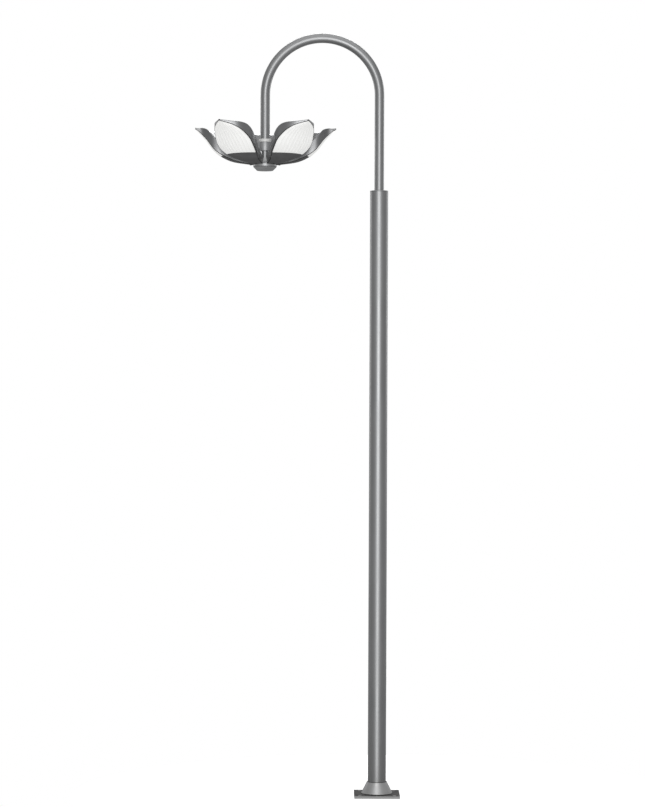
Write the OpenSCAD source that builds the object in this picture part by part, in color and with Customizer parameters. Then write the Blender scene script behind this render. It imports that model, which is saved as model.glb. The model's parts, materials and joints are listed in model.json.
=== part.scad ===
// Street lamp post: square base plate, straight lower pole, gooseneck tube that swivels in
// the pole's top, and a five-petal lotus luminaire that swivels on the gooseneck's down end.
// Origin: centre of the base plate's underside. +Z is up, the arm points along -X, and the
// access door faces +Y. Millimetres.

/* [Base] */
// Side of the square base plate
plate_side = 238; // [215:1:300]
// Thickness of the base plate
plate_t = 13; // [8:1:20]
// Corner radius of the base plate
plate_corner_r = 6; // [3:1:20]
// Distance between anchor bolt holes, both ways
bolt_spacing = 180; // [170:1:190]
// Radius of an anchor bolt hole
bolt_hole_r = 10; // [6:0.5:12]
// Radius of the cable entry in the base plate
entry_r = 30; // [12:1:34]
// Height of the conical base collar
collar_h = 60; // [50:1:90]
// Radius of the collar at the plate
collar_foot_r = 81.5; // [76:0.5:90]
// Width of the collar's lip around the pole, at its top
collar_lip = 7; // [6:0.5:12]
// Wall of the collar
collar_wall = 4; // [3:0.5:6]

/* [Pole] */
// Height of the pole's top above the ground
pole_top_z = 3175; // [2400:5:3800]
// Outer radius of the pole
pole_r = 47.5; // [44:0.5:57]
// Wall of the pole
pole_wall = 4; // [3:0.5:5]
// Thickness of the cap on the pole's top
cap_t = 6; // [4:1:10]
// Height of each guide ring inside the pole
ring_h = 40; // [25:1:60]
// How far the gooseneck tube reaches down into the pole
tube_depth = 400; // [300:5:600]

/* [Access door] */
// Height of the middle of the door above the ground
door_z = 640; // [500:5:900]
// Height of the door
door_h = 274; // [240:2:400]
// Width of the door, straight across
door_w = 60; // [54:1:64]
// Gap around the door
door_gap = 1; // [0.8:0.1:2]
// Wall of the door panel
door_wall = 3; // [2:0.5:3.5]
// Radius of a hinge knuckle
knuckle_r = 4.5; // [3.5:0.5:5]
// Radius of the hinge pin
pin_r = 2.5; // [1.5:0.25:3]
// Height of one hinge knuckle
knuckle_h = 40; // [20:1:60]
// Radius of the lock barrel
lock_r = 7; // [5:0.5:7.5]

/* [Gooseneck] */
// Outer radius of the gooseneck tube
tube_r = 25; // [21:0.5:28]
// Wall of the gooseneck tube
tube_wall = 3; // [2:0.25:4]
// Radius of the arch, to the middle of the tube
arch_r = 300; // [240:5:400]
// Height of the arch's centre above the ground
spring_z = 3675; // [3500:5:4400]
// Height of the tube's down end above the ground
tube_end_z = 3390; // [3300:2:3500]

/* [Lantern] */
// Wall of the white bearing ring around the tube's end
bearing_ring_wall = 8; // [6:0.5:14]
// Height of the white bearing ring
bearing_ring_h = 16; // [8:1:24]
// Wall of the clamp collar
clamp_wall = 6; // [4:0.5:10]
// Height of the clamp collar
clamp_h = 46; // [30:1:60]
// Outer radius of the lantern's stem
stem_r = 18; // [15:0.5:22]
// Wall of the lantern's stem
stem_wall = 3; // [2:0.25:4]
// Length of the stem's straight part
stem_h = 36; // [20:1:60]
// Height of the flare below the stem
flare_h = 31; // [24:1:36]
// Radius of the hub's rim
hub_r = 61.5; // [58:0.5:75]
// Height of the hub's rim
hub_rim_h = 16; // [12:1:24]
// Height of the cap below the hub
hub_cap_h = 21; // [16:1:30]
// Radius of the cap's flat underside
hub_cap_r = 42; // [38:0.5:50]
// Radius of the LED driver inside the hub
driver_r = 34; // [24:1:38]

/* [Petals] */
// Number of petals
petal_count = 5; // [5:1:5]
// Direction of the first petal, from +X
petal_turn = 18; // [0:1:71]
// Reach of a petal, from the lantern's axis to the tip
petal_reach = 389; // [330:1:460]
// Height of a petal, from its root to its tip
petal_height = 196; // [160:1:240]
// Full width of a petal at its widest
petal_width = 219; // [170:1:250]
// Depth of the petal's side flange at its deepest
flange_depth = 65; // [45:1:80]
// Sheet of the petal's metal pan
sheet_t = 2; // [1.5:0.25:3]
// Thickness of the diffuser and of the root cover
diffuser_t = 3; // [2:0.25:4]

/* [Clearances] */
// Radial running clearance of a swivel or a pin
run_gap = 0.08; // [0.04:0.01:0.1]
// Gap between pieces that don't turn on each other
seat_gap = 0.3; // [0.2:0.05:0.5]

/* [Hidden] */
$fn = 96;

cut = 1; // overshoot of a cut past a face
slip = 0.1; // clearance of a rod, screw or gland in its hole
loose = 0.2; // clearance of a piece that is only held by others
weld_gap = 0.05; // keeps a welded leaf's curved face off the pole's
sunk = 0.5; // how far a screw or the lock stands from its wall's outer face
front_y = 10; // cuts on the door's side start this far from the pole's axis
pole_bore_r = pole_r - pole_wall;
collar_top_z = plate_t + collar_h;
collar_top_r = pole_r + collar_lip;
cap_z = pole_top_z - cap_t;
ring_r = pole_bore_r - seat_gap;
guide_r = tube_r + run_gap;
tube_bore_r = tube_r - tube_wall;
lower_ring_z = pole_top_z - tube_depth;
upper_ring_z = cap_z - ring_h;
screw_r = 4; // set screws in the pole's top
screw_clear_r = screw_r + loose;
screw_turns = [40, 90, 140]; // directions of the set screws, on the door's side

// Door: everything around the opening in the pole's wall.
open_w = door_w + 2 * door_gap;
open_h = door_h + 2 * door_gap;
door_in_r = pole_r - door_wall;
pole_joint_z = door_z + open_h / 2 + 45;
frame_out_r = pole_bore_r - loose;
frame_wall = 3.3;
frame_in_r = frame_out_r - frame_wall;
frame_lip = 4; // how far the frame shows inside the opening
frame_margin = 6; // how far the frame reaches behind the pole's wall
gasket_w = 2.6;
hinge_offset = 4.8; // from the door's edge to the hinge, along the pole's face
hinge_turn = acos(door_w / 2 / pole_r) - asin(hinge_offset / pole_r);
hinge_reach = pole_r + knuckle_r + 1;
leaf_t = 3.5;
leaf_w = 14;
leaf_inset = 1.2; // how far the leaf stays inside the knuckle's outer line
cam_t = 3;
cam_w = 12;
cam_reach = 20;
cam_r = frame_in_r - 10; // inner face of the cam, from the pole's axis
lock_flange = 2.5;
lock_room = 1.6; // between the lock's housing and the frame's lip
lock_x = open_w / 2 - frame_lip - lock_r - lock_flange - lock_room;
lock_turn_at = 90 + asin(lock_x / door_in_r);
lock_in_r = door_in_r - 10; // inner end of the lock's housing

// Terminals: board, box and cables stand on the pole's axis.
cable_r = 5;
supply_r = 6;
board_y = -26;
board_t = 4;
board_half_w = sqrt(pow(pole_bore_r, 2) - pow(board_y, 2)) - loose;
board_h = 250;
box_w = 50;
box_back_y = board_y + board_t;
box_depth = 32;
box_h = 130;
box_wall = 2.5;
box_lid_t = 3;
box_z = door_z - box_h / 2;
gland_h = 14;
gland_r = 9;
gland_flange_r = 11;
terminal_w = 9;
terminal_count = 3;
fuse_r = 5;
stud_r = 4;
stud_len = 16;
stud_z = door_z - open_h / 2 - 1;

// Lantern heights, from the gooseneck's end down.
head_x = -2 * arch_r;
clamp_r = tube_r + clamp_wall;
bearing_ring_r = tube_r + bearing_ring_wall;
collar_floor_t = 8;
clamp_low_z = tube_end_z - collar_floor_t - seat_gap;
clamp_top_z = clamp_low_z + clamp_h;
stem_low_z = clamp_low_z - stem_h;
rim_top_z = stem_low_z - flare_h;
rim_low_z = rim_top_z - hub_rim_h;
hub_low_z = rim_low_z - hub_cap_h;
driver_z = hub_low_z + 4; // top of the cap's floor
flare_foot_t = 2; // thickness of the flare's foot above the rim
flare_arc_r = flare_h - flare_foot_t;
shoulder_r = stem_r + flare_arc_r + 3;
web_t = 6;
hub_wall = 6;
gasket_t = 1.5;
rod_r = 8;
rod_bore_r = 5.4;
nut_h = 8;
nut_r = 12;
driver_h = 14;
collar_screw_r = 3;
collar_screw_z = clamp_top_z - 7;
collar_turns = [60, 180, 300];

// Brackets and bolts that carry the petals.
bracket_lift = 4; // room between the hub's shoulder and the petals' root covers
bracket_t = 5;
bracket_w = 18;
bracket_end = hub_r + 28.5;
petal_bolt_r = 3;
petal_bolt_at = hub_r + 17.5;
petal_bolt_head_r = 5.5;
lead_r = 2;
lead_hole_r = lead_r + 1.2;

// Petal shape: one row per station from root to tip, each as a share of its own full size:
// [height, midrib's reach, edge's reach, half width, flange depth]. A reach of 0 is at the
// petal's start beside the hub, and 1 is at its tip.
petal_rows = [
    [0.000, 0.000, -0.006, 0.243, 0.65],
    [0.031, 0.147, 0.101, 0.393, 0.74],
    [0.097, 0.364, 0.260, 0.607, 0.92],
    [0.224, 0.530, 0.420, 0.874, 1.00],
    [0.372, 0.634, 0.542, 0.991, 0.98],
    [0.526, 0.713, 0.622, 1.000, 0.91],
    [0.663, 0.780, 0.695, 0.907, 0.80],
    [0.801, 0.860, 0.790, 0.748, 0.52],
    [0.913, 0.939, 0.887, 0.467, 0.22],
    [1.000, 1.000, 1.000, 0.028, 0.07]
];
root_end = 3; // station where the root cover ends and the diffuser starts
row_last = len(petal_rows) - 1;
steps_per_row = 3;
across = 8; // strips across a petal
petal_root_z = rim_top_z - 3;
petal_start = hub_r + 0.4; // reach of the petal's midrib at its root
petal_run = petal_reach - petal_start;
back_t = 1.5 * sheet_t;
board_half = 10;
board_from = 3.34;
board_to = 6.67;
led_t = 2;

// ---------------------------------------------------------------- shared shapes

module tube(r_out, r_in, z_low, z_high) {
    translate([0, 0, z_low]) difference() {
        cylinder(r = r_out, h = z_high - z_low);
        translate([0, 0, -cut]) cylinder(r = r_in, h = z_high - z_low + 2 * cut);
    }
}

module rod(r, z_low, z_high) {
    translate([0, 0, z_low]) cylinder(r = r, h = z_high - z_low);
}

// A rod that points out from the Z axis, at a height and a direction.
module spoke(r, from, to, z, turn) {
    translate([0, 0, z]) rotate([0, 0, turn]) rotate([0, 90, 0])
        translate([0, 0, from]) cylinder(r = r, h = to - from);
}

// A block straight across X, from y_low to y_high.
module slab(width, y_low, y_high, z_low, z_high) {
    translate([-width / 2, y_low, z_low]) cube([width, y_high - y_low, z_high - z_low]);
}

module rounded_square(side, r) {
    inner = side / 2 - r;
    square([side, 2 * inner], center = true);
    square([2 * inner, side], center = true);
    for (x = [-inner, inner], y = [-inner, inner]) translate([x, y]) circle(r = r);
}

module hex_nut(r, bore, z) {
    translate([0, 0, z]) difference() {
        cylinder(r = r, h = nut_h, $fn = 6);
        translate([0, 0, -cut]) cylinder(r = bore, h = nut_h + 2 * cut);
    }
}

module at_head() { translate([head_x, 0, 0]) children(); }

// The gooseneck's centre line as a solid of one radius.
module bent_rod(r, z_pole, z_head) {
    rod(r, z_pole, spring_z);
    translate([-arch_r, 0, spring_z]) rotate([90, 0, 0])
        rotate_extrude(angle = 180) translate([arch_r, 0]) circle(r = r);
    at_head() rod(r, z_head, spring_z);
}

// ---------------------------------------------------------------- base

module base_plate() {
    color("gray") difference() {
        linear_extrude(plate_t) rounded_square(plate_side, plate_corner_r);
        for (x = [-1, 1], y = [-1, 1])
            translate([x * bolt_spacing / 2, y * bolt_spacing / 2, -cut])
                cylinder(r = bolt_hole_r, h = plate_t + 2 * cut);
        translate([0, 0, -cut]) cylinder(r = entry_r, h = plate_t + 2 * cut);
    }
}

// Four welded ribs between plate and pole, hidden by the collar.
module base_gussets() {
    gusset_t = 5;
    reach = collar_foot_r - collar_wall - pole_r - 8;
    height = collar_h * 0.6;
    from = pole_r + loose;
    color("dimgray") for (turn = [45:90:315]) rotate([0, 0, turn])
        translate([0, gusset_t / 2, plate_t]) rotate([90, 0, 0])
            linear_extrude(gusset_t)
                polygon([[from, 0], [from + reach, 0], [from + reach * 0.9, 4], [from, height]]);
}

module base_collar() {
    bore_r = pole_r + seat_gap;
    lip_h = 3;
    color("silver") rotate_extrude() polygon([
        [bore_r, collar_top_z - collar_wall - lip_h],
        [bore_r, collar_top_z],
        [collar_top_r, collar_top_z],
        [collar_top_r, collar_top_z - lip_h],
        [collar_foot_r, plate_t + collar_wall],
        [collar_foot_r, plate_t],
        [collar_foot_r - collar_wall, plate_t],
        [collar_foot_r - collar_wall, plate_t + collar_wall],
        [collar_top_r - collar_wall, collar_top_z - collar_wall - lip_h]
    ]);
}

// ---------------------------------------------------------------- pole

// The pole's lower length, with the door opening; the upper length is welded on top of it.
module pole_door_section() {
    color("silver") difference() {
        tube(pole_r, pole_bore_r, plate_t, pole_joint_z);
        slab(open_w, front_y, pole_r + cut, door_z - open_h / 2, door_z + open_h / 2);
    }
}

module pole_tube() {
    color("silver") difference() {
        tube(pole_r, pole_bore_r, pole_joint_z, cap_z);
        for (turn = screw_turns)
            spoke(screw_clear_r, pole_bore_r - cut, pole_r + cut, screw_z(), turn);
    }
}

function screw_z() = upper_ring_z + ring_h / 2;

module pole_cap() {
    color("silver") tube(pole_r, guide_r + seat_gap, cap_z, pole_top_z);
}

module upper_guide_ring() {
    color("dimgray") difference() {
        tube(ring_r, guide_r, upper_ring_z, cap_z);
        for (turn = screw_turns)
            spoke(screw_clear_r, tube_r - cut, ring_r + cut, screw_z(), turn);
    }
}

module lower_guide_ring() {
    color("dimgray") tube(ring_r, guide_r, lower_ring_z, lower_ring_z + ring_h);
}

module arm_set_screws() {
    color("darkgray") for (turn = screw_turns) difference() {
        spoke(screw_r, tube_r + seat_gap, pole_r - sunk, screw_z(), turn);
        translate([0, 0, screw_z()]) rotate([0, 0, turn]) rotate([0, 90, 0])
            translate([0, 0, pole_r - 4]) cylinder(r = screw_r / 2, h = 5, $fn = 6);
    }
}

// ---------------------------------------------------------------- door opening

// A curved piece of the pole's wall, between two radii, on the door's side.
module wall_piece(r_out, r_in, width, height) {
    intersection() {
        tube(r_out, r_in, door_z - height / 2, door_z + height / 2);
        slab(width, front_y, pole_r + cut, door_z - height, door_z + height);
    }
}

module door_frame() {
    color("dimgray") difference() {
        wall_piece(frame_out_r, frame_in_r, open_w + 2 * frame_margin,
            open_h + 2 * frame_margin);
        slab(open_w - 2 * frame_lip, front_y, pole_r, door_z - open_h / 2 + frame_lip,
            door_z + open_h / 2 - frame_lip);
        spoke(stud_r + slip, frame_in_r - cut, frame_out_r + cut, stud_z, 90);
    }
}

module door_gasket() {
    outer_w = open_w - 1;
    outer_h = open_h - 1;
    color("black") difference() {
        wall_piece(door_in_r - seat_gap, frame_out_r + slip, outer_w, outer_h);
        slab(outer_w - 2 * gasket_w, front_y, pole_r, door_z - outer_h / 2 + gasket_w,
            door_z + outer_h / 2 - gasket_w);
    }
}

// Moves its children to the hinge's axis: local -X points to the pole, +Y to the door.
module at_hinge() {
    rotate([0, 0, hinge_turn]) translate([hinge_reach, 0, 0]) children();
}

module knuckle(z_low, z_high, bore) {
    tube(knuckle_r, bore, z_low, z_high);
}

// Leaf from the knuckle to a wall of one radius; side +1 is the door's, -1 the pole's.
module leaf(side, r_wall, z_low, z_high) {
    y_low = side > 0 ? 0 : -leaf_w;
    reach_in = hinge_reach - r_wall + 6;
    difference() {
        translate([-reach_in, y_low, z_low])
            cube([reach_in + knuckle_r - leaf_inset - leaf_t / 2, leaf_w, z_high - z_low]);
        translate([-hinge_reach, 0, z_low - cut])
            cylinder(r = r_wall, h = z_high - z_low + 2 * cut);
        translate([0, 0, z_low - cut])
            cylinder(r = pin_r + run_gap, h = z_high - z_low + 2 * cut);
    }
}

hinge_rows = [-1.5, 0.5]; // fixed knuckles, as steps of a knuckle from the door's middle
hinge_play = 0.4; // axial gap between knuckles

module hinge_fixed_leaf() {
    color("dimgray") at_hinge() for (row = hinge_rows) {
        low = door_z + row * knuckle_h + hinge_play;
        high = low + knuckle_h - 2 * hinge_play;
        knuckle(low, high, pin_r);
        leaf(-1, pole_r + weld_gap, low, high);
    }
}

module hinge_pin() {
    color("silver") at_hinge()
        rod(pin_r, door_z - 1.5 * knuckle_h - 3, door_z + 1.5 * knuckle_h + 3);
}

module door_panel() {
    color("silver") difference() {
        wall_piece(pole_r, door_in_r, door_w, door_h);
        spoke(lock_r + lock_flange + slip, door_in_r - 3 * cut, pole_r + cut, door_z,
            lock_turn_at);
    }
}

module hinge_door_leaf() {
    low = door_z - 0.5 * knuckle_h + hinge_play;
    high = door_z + 0.5 * knuckle_h - hinge_play;
    color("dimgray") at_hinge() {
        knuckle(low, high, pin_r + run_gap);
        leaf(1, pole_r + seat_gap, low, high);
    }
}

// ---------------------------------------------------------------- lock

module lock_housing() {
    color("dimgray") difference() {
        spoke(lock_r + lock_flange, lock_in_r, pole_r - sunk, door_z, lock_turn_at);
        spoke(lock_r + run_gap, lock_in_r - cut, pole_r + cut, door_z, lock_turn_at);
    }
}

module lock_barrel() {
    key_w = 5;
    color("darkgray") difference() {
        spoke(lock_r, cam_r + cam_t, pole_r - sunk, door_z, lock_turn_at);
        translate([0, 0, door_z]) rotate([0, 0, lock_turn_at]) rotate([0, 90, 0])
            translate([0, 0, pole_r - 5]) cylinder(r = key_w, h = 8, $fn = 3);
    }
}

// Stored unlocked, with the cam standing up; a quarter turn brings it behind the frame.
module lock_cam() {
    color("dimgray") rotate([0, 0, lock_turn_at])
        translate([cam_r, -cam_w / 2, door_z - cam_w / 2])
            cube([cam_t, cam_w, cam_w / 2 + cam_reach]);
}

// ---------------------------------------------------------------- terminals

module terminal_board() {
    color("tan") slab(2 * board_half_w, board_y, board_y + board_t,
        door_z - board_h / 2, door_z + board_h / 2);
}

module terminal_box() {
    low = box_z;
    high = box_z + box_h;
    front = box_back_y + box_depth;
    color("lightgray") difference() {
        slab(box_w, box_back_y, front, low, high);
        slab(box_w - 2 * box_wall, box_back_y + box_wall, front + cut,
            low + box_wall, high - box_wall);
        rod(gland_r + slip, low - cut, low + box_wall + cut);
        rod(gland_r + slip, high - box_wall - cut, high + cut);
    }
}

module terminal_lid() {
    front = box_back_y + box_depth;
    color("gainsboro") slab(box_w, front, front + box_lid_t, box_z, box_z + box_h);
}

module terminal_blocks() {
    low = door_z - box_h / 2 + 30;
    color("ivory") for (i = [0:terminal_count - 1])
        translate([-20 + i * (terminal_w + 1), box_back_y + box_wall, low])
            cube([terminal_w, 12, 24]);
}

module fuse_carrier() {
    x = box_w / 2 - box_wall - fuse_r - 1;
    y = box_back_y + box_wall + fuse_r;
    color("white") translate([x, y, 0]) rod(fuse_r, door_z - 30, door_z + 30);
}

module cable_glands() {
    color("black") for (end = [0, 1]) {
        inner = end == 0 ? box_z : box_z + box_h - box_wall;
        flange = end == 0 ? box_z - gland_h : box_z + box_h;
        bore = end == 0 ? supply_r : cable_r;
        tube(gland_r, bore, inner, inner + box_wall);
        tube(gland_flange_r, bore, flange, flange + gland_h);
    }
}

module supply_cable() {
    color("black") rod(supply_r, 0, box_z + box_wall + 12);
}

module riser_cable() {
    color("black") rod(cable_r, box_z + box_h - box_wall - 12, lower_ring_z - 20);
}

module earth_stud() {
    color("gold") spoke(stud_r, frame_in_r - stud_len, frame_out_r - 0.4, stud_z, 90);
}

module earth_nuts() {
    color("gold") for (from = [frame_in_r - 7, frame_in_r - 14])
        translate([0, 0, stud_z]) rotate([0, 0, 90]) rotate([0, 90, 0])
            translate([0, 0, from]) difference() {
                cylinder(r = 7, h = 5.5, $fn = 6);
                translate([0, 0, -cut]) cylinder(r = stud_r, h = 5.5 + 2 * cut);
            }
}

// ---------------------------------------------------------------- gooseneck

module gooseneck_tube() {
    color("silver") difference() {
        bent_rod(tube_r, lower_ring_z, tube_end_z);
        bent_rod(tube_bore_r, lower_ring_z - cut, tube_end_z - cut);
    }
}

// Lies along the tube's centre line and joins the riser cable at the tube's foot.
module arm_cable() {
    color("black") bent_rod(cable_r, lower_ring_z - 20, driver_z + driver_h + seat_gap);
}

// ---------------------------------------------------------------- lantern

module bearing_ring() {
    color("white") at_head()
        tube(bearing_ring_r, tube_r + seat_gap, clamp_top_z, clamp_top_z + bearing_ring_h);
}

module clamp_collar() {
    color("gray") at_head() difference() {
        rod(clamp_r, clamp_low_z, clamp_top_z);
        rod(guide_r, clamp_low_z + collar_floor_t, clamp_top_z + cut);
        rod(rod_r + slip, clamp_low_z - cut, clamp_low_z + collar_floor_t + cut);
        for (turn = collar_turns)
            spoke(collar_screw_r + slip, tube_r - cut, clamp_r + cut, collar_screw_z, turn);
    }
}

module collar_screws() {
    color("dimgray") at_head() for (turn = collar_turns)
        spoke(collar_screw_r, tube_r + seat_gap, clamp_r + sunk, collar_screw_z, turn);
}

module lantern_stem() {
    color("silver") at_head() tube(stem_r, stem_r - stem_wall, stem_low_z, clamp_low_z);
}

module hollow_rod() {
    color("darkgray") at_head()
        tube(rod_r, rod_bore_r, rim_top_z - web_t - nut_h - 2, tube_end_z + nut_h + 2);
}

module rod_nuts() {
    color("darkgray") at_head() {
        hex_nut(nut_r, rod_r, clamp_low_z + collar_floor_t);
        hex_nut(nut_r, rod_r, rim_top_z - web_t - nut_h);
    }
}

// Trumpet flare, flat shoulder for the brackets, rim, and a web that the rod clamps.
module hub_body() {
    flare_foot_r = stem_r + flare_arc_r;
    color("gray") at_head() difference() {
        rotate_extrude() difference() {
            union() {
                translate([0, rim_low_z]) square([hub_r, hub_rim_h]);
                difference() {
                    translate([0, rim_top_z]) square([flare_foot_r, flare_h]);
                    translate([flare_foot_r, rim_top_z + flare_h]) circle(r = flare_arc_r);
                }
            }
            square([rod_r + slip, stem_low_z + cut]);
            translate([0, rim_low_z - cut])
                square([hub_r - hub_wall, hub_rim_h - web_t + cut]);
            translate([0, rim_top_z]) square([stem_r - stem_wall, flare_h + cut]);
        }
        for (i = [0:petal_count - 1])
            spoke(lead_hole_r, rod_r, hub_r, lead_z(), petal_turn + i * 360 / petal_count);
    }
}

function lead_z() = rim_top_z + bracket_lift + bracket_t + 4;

module hub_gasket() {
    color("black") at_head()
        tube(hub_r - 1.5, hub_r - hub_wall + 0.5, rim_low_z - gasket_t, rim_low_z);
}

module hub_cap() {
    top = rim_low_z - gasket_t;
    color("gray") at_head() rotate_extrude() polygon([
        [0, hub_low_z], [hub_cap_r, hub_low_z], [hub_r, top], [hub_r - hub_wall, top],
        [hub_cap_r - 2, driver_z], [0, driver_z]
    ]);
}

module led_driver() {
    color("dimgray") at_head() rod(driver_r, driver_z, driver_z + driver_h);
}

// ---------------------------------------------------------------- petals

function blend4(a, b, c, d, f) = 0.5 * (2 * b + (c - a) * f
    + (2 * a - 5 * b + 4 * c - d) * f * f + (3 * b - a - 3 * c + d) * f * f * f);

function petal_row(t) = let (i = min(floor(t), row_last - 1))
    blend4(petal_rows[max(i - 1, 0)], petal_rows[i], petal_rows[i + 1],
        petal_rows[min(i + 2, row_last)], t - i);

function half_w(t) = petal_row(t)[3] * petal_width / 2;
function flange_h(t) = petal_row(t)[4] * flange_depth;
function sheet_at(t) = min(sheet_t, 0.35 * half_w(t));

// Point of the petal's outer face at station t, y across and lift above the face.
function face_point(t, y, lift) = let (row = petal_row(t), u = y / half_w(t))
    [petal_start + petal_run * (row[1] + (row[2] - row[1]) * u * u), y,
        petal_root_z + petal_height * row[0] + lift];

function stations(from, to) =
    [for (i = [0:round((to - from) * steps_per_row)]) from + i / steps_per_row];

function sweep_across(half) = [for (k = [0:across]) half * (2 * k / across - 1)];

function reversed(list) = [for (i = [len(list) - 1:-1:0]) list[i]];

// Closed strip of faces through rings of equal length. Each ring goes out along one path and
// back along another, so a cap is a strip between the two paths.
module loft(rings) {
    n = len(rings[0]);
    last = len(rings) - 1;
    sides = [for (j = [0:last - 1], k = [0:n - 1]) let (m = (k + 1) % n)
        each [[j * n + k, j * n + m, (j + 1) * n + m],
              [j * n + k, (j + 1) * n + m, (j + 1) * n + k]]];
    head = [for (k = [0:n / 2 - 2]) let (a = last * n + k, b = last * n + n - 1 - k)
        each [[a, a + 1, b - 1], [a, b - 1, b]]];
    foot = [for (k = [0:n / 2 - 2]) each [[n - 2 - k, k + 1, k], [n - 1 - k, n - 2 - k, k]]];
    polyhedron(points = [for (ring = rings) each ring], faces = concat(sides, foot, head));
}

// A plate that follows the petal's face: one ring per station.
function plate_ring(t, half, low, high) = concat(
    [for (y = sweep_across(half)) face_point(t, y, low)],
    reversed([for (y = sweep_across(half)) face_point(t, y, high)]));

// The pan's section: down one flange, across the back and down the other, then back inside.
function pan_ring(t) = let (
        outer = half_w(t), inner = half_w(t) - sheet_at(t), lift = flange_h(t),
        under = lift - min(back_t, 0.4 * lift))
    concat([face_point(t, -outer, 0)],
        [for (y = sweep_across(outer)) face_point(t, y, lift)],
        [face_point(t, outer, 0), face_point(t, inner, 0)],
        reversed([for (y = sweep_across(inner)) face_point(t, y, under)]),
        [face_point(t, -inner, 0)]);

function cover_half(t) = max(half_w(t) - sheet_at(t) - 0.25, 0.5 * half_w(t));
function cover_t(t) = min(diffuser_t, 0.3 * flange_h(t));
function board_lift(t) = flange_h(t) - back_t - seat_gap;

module at_petal(i) {
    at_head() rotate([0, 0, petal_turn + (i - 1) * 360 / petal_count]) children();
}

module petal_pan(i) {
    color("darkgray") at_petal(i) loft([for (t = stations(0, row_last)) pan_ring(t)]);
}

module petal_diffuser(i) {
    color("white") at_petal(i)
        loft([for (t = stations(root_end, row_last)) plate_ring(t, cover_half(t), 0,
            cover_t(t))]);
}

module petal_root(i) {
    color("dimgray") at_petal(i) difference() {
        loft([for (t = stations(0, root_end)) plate_ring(t, cover_half(t), 0, cover_t(t))]);
        translate([petal_bolt_at, 0, petal_root_z - 5])
            cylinder(r = petal_bolt_r + loose, h = 20);
    }
}

// One bracket per petal: a foot on the hub's shoulder and a bar that the petal hangs on.
module petal_brackets() {
    bar_low = rim_top_z + bracket_lift;
    inner = shoulder_r + 0.6;
    color("dimgray") for (i = [1:petal_count]) at_petal(i) difference() {
        union() {
            translate([inner, -bracket_w / 2, rim_top_z])
                cube([hub_r - 0.5 - inner, bracket_w, bracket_lift]);
            translate([inner, -bracket_w / 2, bar_low])
                cube([bracket_end - inner, bracket_w, bracket_t]);
        }
        translate([petal_bolt_at, 0, rim_top_z]) cylinder(r = petal_bolt_r + loose, h = 20);
    }
}

module petal_bolts() {
    head_top = petal_root_z + petal_height * petal_row(0.33)[0] - 0.6;
    color("black") for (i = [1:petal_count]) at_petal(i) translate([petal_bolt_at, 0, 0]) {
        rod(petal_bolt_head_r, head_top - 4, head_top);
        rod(petal_bolt_r, head_top, rim_top_z + bracket_lift + bracket_t + 6);
    }
}

module petal_nuts() {
    color("dimgray") for (i = [1:petal_count]) at_petal(i)
        translate([petal_bolt_at, 0, rim_top_z + bracket_lift + bracket_t]) difference() {
            cylinder(r = 5.5, h = 5, $fn = 6);
            translate([0, 0, -cut]) cylinder(r = petal_bolt_r, h = 5 + 2 * cut);
        }
}

// Lead from the hub to the foot of each LED board, inside the pan.
module petal_leads() {
    start = [rod_r + 6, 0, lead_z()];
    board_foot = face_point(board_from, 0, board_lift(board_from) - led_t - lead_r);
    bend = [board_foot[0] * 0.55, 0, lead_z()];
    route = [for (f = [0:0.125:1])
        start * pow(1 - f, 2) + 2 * bend * f * (1 - f) + board_foot * f * f];
    ring = [for (a = [0:45:315]) [0, lead_r * cos(a), lead_r * sin(a)]];
    color("white") for (i = [1:petal_count]) at_petal(i)
        loft([for (p = route) [for (q = ring) p + q]]);
}

module led_boards() {
    color("palegreen") for (i = [1:petal_count]) at_petal(i)
        loft([for (t = stations(board_from, board_to)) [
            face_point(t, -board_half, board_lift(t) - led_t),
            face_point(t, board_half, board_lift(t) - led_t),
            face_point(t, board_half, board_lift(t)),
            face_point(t, -board_half, board_lift(t))]]);
}

base_plate();
base_gussets();
base_collar();
pole_door_section();
pole_tube();
pole_cap();
upper_guide_ring();
lower_guide_ring();
arm_set_screws();
door_frame();
door_gasket();
hinge_fixed_leaf();
hinge_pin();
terminal_board();
terminal_box();
terminal_lid();
terminal_blocks();
fuse_carrier();
cable_glands();
supply_cable();
riser_cable();
earth_stud();
earth_nuts();
door_panel();
hinge_door_leaf();
lock_housing();
lock_barrel();
lock_cam();
gooseneck_tube();
arm_cable();
bearing_ring();
clamp_collar();
collar_screws();
lantern_stem();
hollow_rod();
rod_nuts();
hub_body();
hub_gasket();
hub_cap();
led_driver();
petal_brackets();
petal_bolts();
petal_nuts();
petal_leads();
led_boards();
petal_pan(1);  // petal_pan_1
petal_pan(2);  // petal_pan_2
petal_pan(3);  // petal_pan_3
petal_pan(4);  // petal_pan_4
petal_pan(5);  // petal_pan_5
petal_diffuser(1);  // petal_diffuser_1
petal_diffuser(2);  // petal_diffuser_2
petal_diffuser(3);  // petal_diffuser_3
petal_diffuser(4);  // petal_diffuser_4
petal_diffuser(5);  // petal_diffuser_5
petal_root(1);  // petal_root_1
petal_root(2);  // petal_root_2
petal_root(3);  // petal_root_3
petal_root(4);  // petal_root_4
petal_root(5);  // petal_root_5
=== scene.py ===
import json
from math import cos, pi, radians, sin

import bmesh
import bpy
from mathutils import Matrix, Vector


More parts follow.
